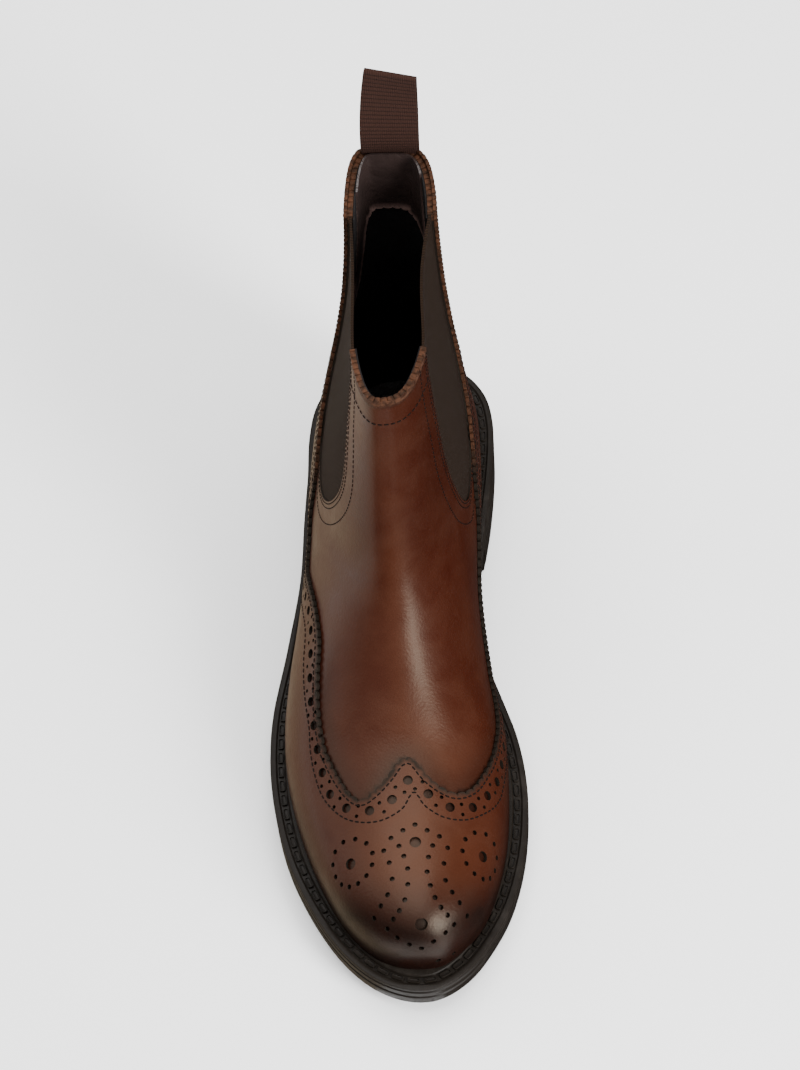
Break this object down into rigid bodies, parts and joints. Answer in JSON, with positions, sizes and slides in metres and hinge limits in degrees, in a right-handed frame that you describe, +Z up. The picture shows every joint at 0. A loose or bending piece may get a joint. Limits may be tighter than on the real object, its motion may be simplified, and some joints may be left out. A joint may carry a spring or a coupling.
{
  "type": "brogue ankle boot",
  "caption": "Right ankle boot with a winged brogue toe cap, elastic side panels, a rear pull loop and a low block heel on a welted sole.",
  "frame": {"origin": "on the floor, under the middle of the boot's bounding box", "axes": "+Z up, -Y towards the toe, +Y towards the heel, +X towards the inner side of this right boot"},
  "size_m": [0.1023, 0.282, 0.2316],
  "materials": {
    "vamp_leather": "burnished chestnut, semi-gloss",
    "wing_leather": "burnished chestnut, darker towards the toe",
    "quarter_leather": "burnished chestnut, semi-gloss",
    "elastic": "matt, finely ribbed upright",
    "loop_tape": "matt, ribbed crosswise",
    "insole_leather": "matt, black",
    "welt_rubber": "satin, very dark brown",
    "sole_rubber": "satin, very dark brown"
  },
  "bodies": {
    "root": {"upper": "vamp_leather", "wing_cap": "wing_leather", "rear_quarter": "quarter_leather", "gore_outer": "elastic", "gore_inner": "elastic", "pull_loop": "loop_tape", "insole": "insole_leather", "welt": "welt_rubber", "midsole": "sole_rubber", "outsole": "sole_rubber", "heel_block": "sole_rubber", "top_piece": "sole_rubber"}
  },
  "joints": []
}
